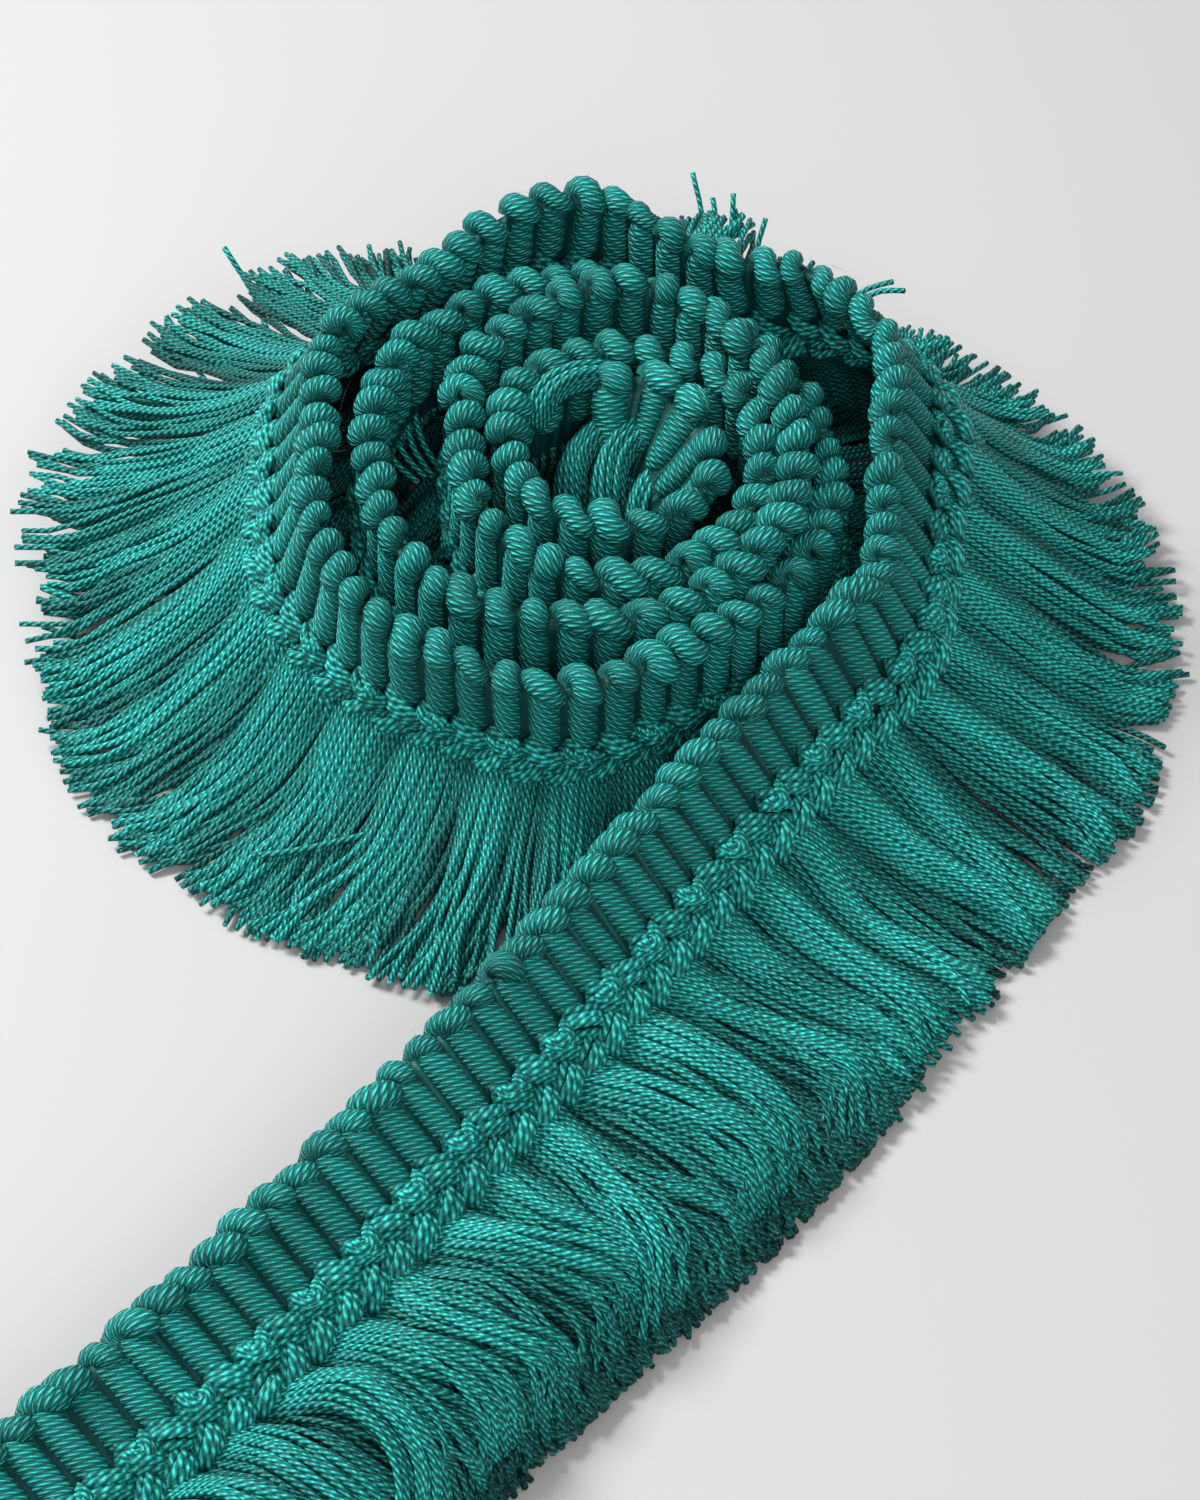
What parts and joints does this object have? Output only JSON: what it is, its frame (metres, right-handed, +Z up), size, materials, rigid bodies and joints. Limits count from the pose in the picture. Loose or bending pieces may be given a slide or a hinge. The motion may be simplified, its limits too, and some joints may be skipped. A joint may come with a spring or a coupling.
{
  "type": "fringe trim",
  "caption": "Loosely wound fringe trim: a ribbed, scalloped gimp heading stands in a spiral, its yarn fringe fans out on the floor, and a loose end lies across the front.",
  "frame": {"origin": "on the floor at the middle of the whole footprint", "axes": "+Z up, the roll towards +Y, the loose end running towards -Y and -X"},
  "size_m": [0.1414, 0.2378, 0.0425],
  "materials": {
    "heading_yarn": "satin twisted yarn wound over cords, teal green",
    "fringe_yarn": "satin two-ply twisted fringe yarn, teal green"
  },
  "bodies": {
    "root": {"heading": "heading_yarn", "fringe_roll": "fringe_yarn", "fringe_tail": "fringe_yarn"}
  },
  "joints": []
}
